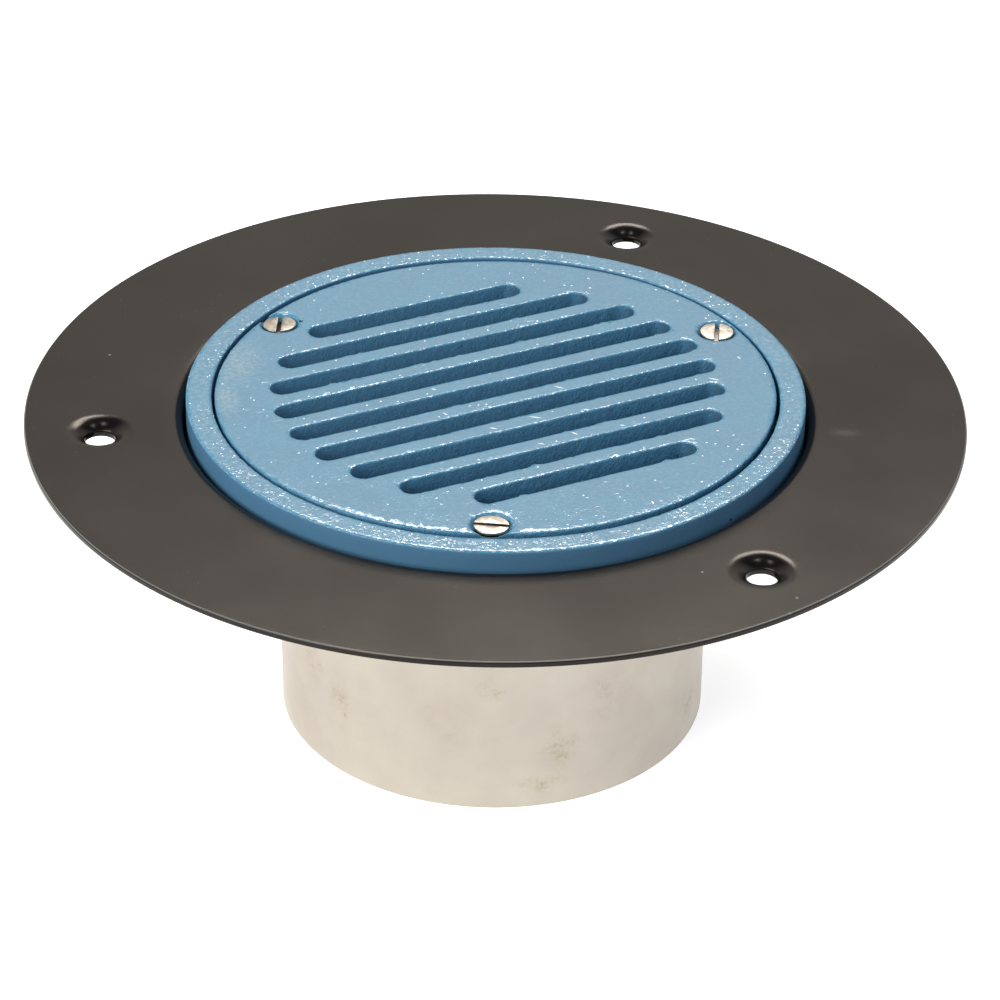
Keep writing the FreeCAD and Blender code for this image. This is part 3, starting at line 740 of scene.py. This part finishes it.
class DRAIN_OT_frame_ring(bpy.types.Operator):
    """Cast the frame ring with its seat and bosses"""

    bl_idname = "drain.frame_ring"
    bl_label = "Frame ring"

    def execute(self, context):
        sizes, colours = context.scene.drain_sizes, context.scene.drain_colours
        # The ring's wall gets the deep blue as painted shade.
        material = enamel_material(
            colours, "epoxy_coated_cast_iron_ring", colours.enamel_deep,
            top_grain=0.16, wall_grain=0.06, nib_cell=1.3, nib_share=0.36, thin=0.13,
            pits=(((28.4, -75.9, 87.9), 0.5),))
        outer = sizes.ring_radius
        rebate = outer - sizes.ring_wall
        seat = rebate - sizes.seat_width
        foot, top = RING_LOW.z, RING_HIGH.z
        seat_top = GRATE_LOW.z
        shelf = seat_top - sizes.seat_thickness
        chamfer = 1.2 * MM
        outline = [(outer - chamfer, foot), (outer, foot + chamfer), (outer, top), (rebate, top),
                   (rebate, seat_top), (seat, seat_top), (seat, shelf), (rebate, shelf), (rebate, foot)]
        piece = new_piece("ring_casting", turned("ring_blank", outline, CASTING_STEPS))
        grow(piece, ring_tree(), {
            "Foot": foot, "Seat": seat_top, "Screw circle": sizes.screw_circle, "First screw": FIRST_SCREW,
            "Clamp circle": sizes.clamp_circle, "First clamp": FIRST_CLAMP, "Boss radius": 6.9 * MM,
            "Clamp boss radius": 7.4 * MM, "Screw hole": 2.8 * MM, "Hole floor": foot + 1.2 * MM,
            "Clamp hole": 3.35 * MM, "Pocket radius": 5.6 * MM, "Pocket floor": seat_top - 4.5 * MM,
            "Material": material})
        cast(piece, smoothing=6, keep=0.34, skin={
            "Grain width": 1.2 * MM, "Top grain": 0.2 * MM, "Wall grain": 0.05 * MM, "Ripple width": 8.0 * MM,
            "Ripple": 0.15 * MM, "Wander width": 12.0 * MM, "Wander": 0.2 * MM, "Seed": 2.0,
            "Material": material})
        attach(piece, "root")
        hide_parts("frame_ring")
        return {"FINISHED"}


class DRAIN_OT_flange_pan(bpy.types.Operator):
    """Press the flange pan from one sheet"""

    bl_idname = "drain.flange_pan"
    bl_label = "Flange pan"

    def execute(self, context):
        sizes = context.scene.drain_sizes
        material = black_material(context.scene.drain_colours)
        sheet = sizes.sheet
        top = PAN_HIGH.z
        low = top - sheet
        rim = sizes.pan_radius
        wall = sizes.ring_radius + 0.7 * MM
        ledge = RING_LOW.z
        bore = sizes.pipe_radius - sizes.pipe_wall - 0.1 * MM - sheet
        # Inner radii of the bends, and the centres that they turn about.
        wide, tight = 1.5 * MM, 0.8 * MM
        flange_bend = (wall + wide + sheet, top - wide - sheet)
        ledge_bend = (wall - wide, ledge + wide)
        collar_bend = (bore + tight + sheet, ledge - tight - sheet)
        band_inner, band_outer = wall + 9.0 * MM, rim - 5.5 * MM
        guard = 1.5 * MM  # flat strip beside a bend, which keeps the shading of the band flat
        outline = [(band_inner, top), (band_inner - guard, top)]
        outline += arc(flange_bend, wide + sheet, 90, 180, 12)
        outline += arc(ledge_bend, wide, 0, -90)
        outline += arc(collar_bend, tight + sheet, 90, 180)
        outline += [(bore, PAN_LOW.z), (bore + sheet, PAN_LOW.z)]
        outline += arc(collar_bend, tight, 180, 90)
        outline += arc(ledge_bend, wide + sheet, -90, 0)
        outline += arc(flange_bend, wide, 180, 90)
        outline += [(band_inner - guard, low), (band_inner, low)]
        # The flange's edge is sharp below and soft above.
        sharp, soft, lead = 0.15 * MM, 0.5 * MM, 0.1 * MM
        edge = [(band_outer, low), (rim - sharp - lead, low)]
        edge += arc((rim - sharp, low + sharp), sharp, -90, 0, 4)
        edge += arc((rim - soft, top - soft), soft, 0, 90, 8)
        edge += [(rim - soft - lead, top), (band_outer, top)]
        piece = new_piece("pan_pressing", turned("pan_well", outline, PAN_STEPS, closed=False))
        outer_mesh = turned("pan_edge", edge, PAN_STEPS, closed=False)
        joined = bmesh.new()
        joined.from_mesh(piece.data)
        joined.from_mesh(outer_mesh)
        joined.to_mesh(piece.data)
        joined.free()
        bpy.data.meshes.remove(outer_mesh)
        # A dimple: soft bend, cone and pierced hole, of the sheet's own thickness.
        slope, bend, start, lip = 35.0, 6.0 * MM, 9.0 * MM, 0.15 * MM
        hole = sizes.floor_hole_radius
        bend_centre = (start, top - bend)
        tilt = math.radians(slope)
        hole_top = top - bend * (1 - math.cos(tilt)) - (start - bend * math.sin(tilt) - hole) * math.tan(tilt)
        hole_low = hole_top - sheet / math.cos(tilt)
        dimple_rim = start + guard
        funnel = [(dimple_rim, top), (start + guard / 2, top)]
        funnel += arc(bend_centre, bend, 90, 90 + slope, 10)
        funnel += [(hole + lip, hole_top + lip * math.tan(tilt)), (hole, hole_top - lip), (hole, hole_low + lip),
                   (hole + lip, hole_low + lip * math.tan(tilt))]
        funnel += arc(bend_centre, bend - sheet, 90 + slope, 90, 10)
        funnel += [(start + guard / 2, low), (dimple_rim, low)]
        dimple = new_piece("dimple_blank", turned("dimple_blank", funnel, DIMPLE_STEPS, closed=False))
        grow(piece, pan_tree(), {
            "Band inner": band_inner, "Band outer": band_outer, "Top": top, "Sheet": sheet,
            "Hole circle": sizes.floor_hole_circle, "First hole": FIRST_HOLE, "Dimple": dimple,
            "Dimple rim": dimple_rim, "Ledge hole": 3.25 * MM, "Ledge hole circle": sizes.clamp_circle,
            "First ledge hole": FIRST_CLAMP, "Ledge bottom": ledge - sheet, "Ledge top": ledge,
            "Material": material})
        settle(piece, material)
        bpy.data.objects.remove(dimple)
        piece.data.set_sharp_from_angle(angle=SHARP)
        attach(piece, "root")
        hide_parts("flange_pan")
        return {"FINISHED"}


class DRAIN_OT_outlet_pipe(bpy.types.Operator):
    """Cut the outlet pipe to length"""

    bl_idname = "drain.outlet_pipe"
    bl_label = "Outlet pipe"

    def execute(self, context):
        sizes = context.scene.drain_sizes
        outer = sizes.pipe_radius
        bore = outer - sizes.pipe_wall
        top = PIPE_HIGH.z
        soft, bevel = 0.4 * MM, 1.05 * MM
        outline = [(bore, soft), (bore + soft, 0.0)]
        outline += arc((outer - soft, soft), soft, -90, 0, 5)
        outline += [(outer, top), (bore + bevel, top), (bore, top - bevel)]
        piece = new_piece("pipe_tube", turned("pipe_tube", outline, PIPE_STEPS))
        piece.data.materials.append(stainless_material(context.scene.drain_colours))
        piece.data.shade_smooth()
        piece.data.set_sharp_from_angle(angle=SHARP)
        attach(piece, "root")
        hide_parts("outlet_pipe")
        return {"FINISHED"}


class DRAIN_OT_grate_screws(bpy.types.Operator):
    """Turn and slot the three countersunk screws of the grate"""

    bl_idname = "drain.grate_screws"
    bl_label = "Grate screws"

    def execute(self, context):
        sizes, colours = context.scene.drain_sizes, context.scene.drain_colours
        head_top, tail = SCREW_HIGH.z, SCREW_LOW.z
        # From just above the slot's floor down, the steel is darkened: painted shade under the head and in the
        # slot, with some dirt.
        material = steel_material("satin_screw_steel", colours.screw, colours.grime,
                                  clean_above=head_top - 1.15 * MM, rough_low=0.3, rough_high=0.42)
        head = sizes.screw_head / 2
        thread = 2.5 * MM
        cone_top = head_top - 0.6 * MM
        point, nick, soft, crown = 0.5 * MM, 0.05 * MM, 0.2 * MM, 0.02 * MM
        outline = [(0.0, tail), (thread - point, tail), (thread, tail + point), (thread, cone_top - head + thread),
                   (head - nick, cone_top - nick), (head, cone_top)]
        outline += arc((head - soft, head_top - soft), soft, 0, 90, 4)
        outline += [(head * 0.5, head_top + crown), (0.0, head_top + crown)]
        outline = [(radius, height - head_top) for radius, height in outline]
        blank = new_piece("screw_blank", turned("screw_blank", outline, SCREW_STEPS))
        places = bpy.data.meshes.new("screw_places")
        poses, spots = [], []
        # Turn of each driver slot and lean of each head, in degrees.
        for index, (turn, lean_x, lean_y) in enumerate(((59.5, 0.7, -0.7), (62.0, -2.6, 2.6), (-31.0, -1.0, 1.0))):
            place = FIRST_SCREW + math.radians(120.0 * index)
            # A leaning head sits lower, so that its high side stays inside the CAD box.
            high_side = head_top + head * math.sin(math.radians(math.hypot(lean_x, lean_y)))
            spots.append((sizes.screw_circle * math.cos(place), sizes.screw_circle * math.sin(place),
                          head_top - max(0.0, high_side - CAD_BOX[1].z)))
            poses.append((math.radians(lean_x), math.radians(lean_y), math.radians(turn)))
        places.from_pydata(spots, [], [])
        pose = places.attributes.new("pose", "FLOAT_VECTOR", "POINT")
        for item, value in zip(pose.data, poses):
            item.vector = value
        piece = new_piece("grate_screw_set", places)
        grow(piece, screw_tree(), {"Blank": blank, "Slot width": 1.2 * MM, "Slot depth": 1.3 * MM,
                                   "Head radius": head, "Head top": 0.0, "Material": material})
        edges = piece.modifiers.new("Soft edges", "BEVEL")
        edges.limit_method = "ANGLE"
        edges.angle_limit = math.radians(50.0)
        edges.width = 0.07 * MM
        edges.segments = 2
        settle(piece, material)
        bpy.data.objects.remove(blank)
        piece.data.set_sharp_from_angle(angle=SHARP)
        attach(piece, "root")
        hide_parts("grate_screws")
        return {"FINISHED"}


class DRAIN_OT_clamp_fasteners(bpy.types.Operator):
    """Finish the clamp screws and the nuts below the ledge"""

    bl_idname = "drain.clamp_fasteners"
    bl_label = "Clamp screws and nuts"

    def execute(self, context):
        colours = context.scene.drain_colours
        for node, name, tone, rough_low, rough_high in (
                ("clamp_screws", "satin_clamp_steel", colours.screw, 0.3, 0.42),
                ("weld_nuts", "plain_nut_steel", colours.nut, 0.35, 0.5)):
            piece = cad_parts[node]
            piece.data.materials.clear()
            piece.data.materials.append(steel_material(name, tone, colours.nut, 0.0, rough_low, rough_high))
        return {"FINISHED"}


class DRAIN_OT_stage(bpy.types.Operator):
    """Set up the floor, the light and the camera"""

    bl_idname = "drain.stage"
    bl_label = "Stage"

    def execute(self, context):
        scene = context.scene
        stage = scene.drain_stage
        scene.view_settings.view_transform = "Standard"
        # The floor lies just under the pipe's end.
        floor = new_piece("studio_floor")
        shape = bmesh.new()
        bmesh.ops.create_grid(shape, x_segments=2, y_segments=2, size=4.0)
        bmesh.ops.translate(shape, verts=shape.verts, vec=(0.0, 0.0, -0.2 * MM))
        shape.to_mesh(floor.data)
        shape.free()
        material = bpy.data.materials.new("matt_white_floor")
        material.use_nodes = True
        floor.data.materials.append(finish_material(material, {
            "Base Color": scene.drain_colours.floor, "Roughness": 0.9, "Specular IOR Level": 0.1,
            "Emission Color": (1.0, 1.0, 1.0, 1.0), "Emission Strength": stage.glow}))

        # The camera, fitted to the outlines in the photo.
        yaw, pitch, roll = (math.radians(angle) for angle in (-26.522, 31.032, 0.823))
        back = Vector((math.sin(yaw) * math.cos(pitch), -math.cos(yaw) * math.cos(pitch), math.sin(pitch)))
        level = Vector((math.cos(yaw), math.sin(yaw), 0.0))
        lift = back.cross(level)
        right = math.cos(roll) * level + math.sin(roll) * lift
        up = math.cos(roll) * lift - math.sin(roll) * level
        view = Matrix((right, up, back)).transposed().to_4x4()
        view.translation = Vector((-0.3954, -0.7956, 0.5941))
        camera = bpy.data.objects.new("camera", bpy.data.cameras.new("camera"))
        scene.collection.objects.link(camera)
        camera.matrix_world = view
        camera.data.sensor_fit = "HORIZONTAL"
        camera.data.sensor_width = 36.0
        camera.data.lens = stage.lens
        camera.data.clip_start = 0.01
        scene.camera = camera

        # A pale room with a dim ceiling, darker near the floor and with cooler daylight from the right.
        world = bpy.data.worlds.new("pale_room")
        world.use_nodes = True
        room = world.node_tree
        add = partial(put, room)
        around = add("ShaderNodeTexCoord").outputs["Generated"]
        rising = add(SPLIT_XYZ, (around,)).outputs[2]
        bright = add(RANGE, (rising, 0.6, 0.78, stage.room, stage.ceiling), interpolation_type="SMOOTHSTEP")
        dim = add(RANGE, (rising, 0.1, 0.34, 0.5, 1.0), interpolation_type="SMOOTHSTEP")
        aside = add(VECTOR, (around, tuple(level)), "DOT_PRODUCT")
        daylight = add(RANGE, (aside, 0.5, 0.9), interpolation_type="SMOOTHSTEP")
        gain = add(RANGE, {0: daylight, 3: 1.0, 4: 1.6})
        bright = fold(add, "MULTIPLY", bright, dim, gain)
        tint = add(MIX, {0: daylight, 6: tuple(linear("fff6ea")), 7: tuple(linear("dce8ff"))}, data_type="RGBA")
        connect(room, room.nodes["Background"], (tint, bright))
        scene.world = world

        # Each light's name, place as seen from the camera, width, depth, power and colour.
        ahead = Vector((-back.x, -back.y, 0.0)).normalized()
        aim = Vector((0.0, 0.0, 0.09))
        rise = Vector((0.0, 0.0, 1.0))
        for name, place, width, depth, power, tint in (
                ("back_softbox", 1.13 * ahead + 0.13 * level + 1.29 * rise, 0.8, 0.5, stage.back_light, "fffaf3"),
                ("front_fill", -1.15 * ahead - 1.4 * level + 0.9 * rise, 2.0, 1.2, stage.fill_light, "ffffff"),
                ("left_lamp", -0.15 * ahead - 0.35 * level + 1.3 * rise, 0.2, 0.2, stage.lamp, "ffffff"),
                ("right_lamp", -0.15 * ahead + 0.35 * level + 1.3 * rise, 0.2, 0.2, stage.lamp, "ffffff")):
            light = bpy.data.lights.new(name, "AREA")
            light.shape = "RECTANGLE"
            light.size, light.size_y = width, depth
            light.energy = power
            light.color = linear(tint)[:3]
            lamp = bpy.data.objects.new(name, light)
            scene.collection.objects.link(lamp)
            lamp.location = aim + place
            lamp.rotation_euler = (-place).to_track_quat("-Z", "Y").to_euler()
        return {"FINISHED"}


class DRAIN_PT_panel(bpy.types.Panel):
    """Lists the drain's pieces and their settings"""

    bl_idname = "DRAIN_PT_panel"
    bl_label = "Floor Drain"
    bl_space_type = "VIEW_3D"
    bl_region_type = "UI"
    bl_category = "Floor Drain"

    def draw(self, context):
        for operator in OPERATORS:
            self.layout.operator(operator.bl_idname)
        for group in (context.scene.drain_sizes, context.scene.drain_colours, context.scene.drain_stage):
            box = self.layout.box()
            for name in group.__annotations__:
                box.prop(group, name)


OPERATORS = (DRAIN_OT_grate, DRAIN_OT_frame_ring, DRAIN_OT_flange_pan, DRAIN_OT_outlet_pipe,
             DRAIN_OT_grate_screws, DRAIN_OT_clamp_fasteners, DRAIN_OT_stage)
CLASSES = (DrainSizes, DrainColours, DrainStage) + OPERATORS + (DRAIN_PT_panel,)


def register():
    for cls in CLASSES:
        bpy.utils.register_class(cls)
    bpy.types.Scene.drain_sizes = PointerProperty(type=DrainSizes)
    bpy.types.Scene.drain_colours = PointerProperty(type=DrainColours)
    bpy.types.Scene.drain_stage = PointerProperty(type=DrainStage)


def unregister():
    del bpy.types.Scene.drain_stage
    del bpy.types.Scene.drain_colours
    del bpy.types.Scene.drain_sizes
    for cls in reversed(CLASSES):
        bpy.utils.unregister_class(cls)


def main():
    register()
    skin_tree()
    bpy.ops.drain.grate()
    bpy.ops.drain.frame_ring()
    bpy.ops.drain.flange_pan()
    bpy.ops.drain.outlet_pipe()
    bpy.ops.drain.grate_screws()
    bpy.ops.drain.clamp_fasteners()
    bpy.ops.drain.stage()


if __name__ == "__main__":
    main()
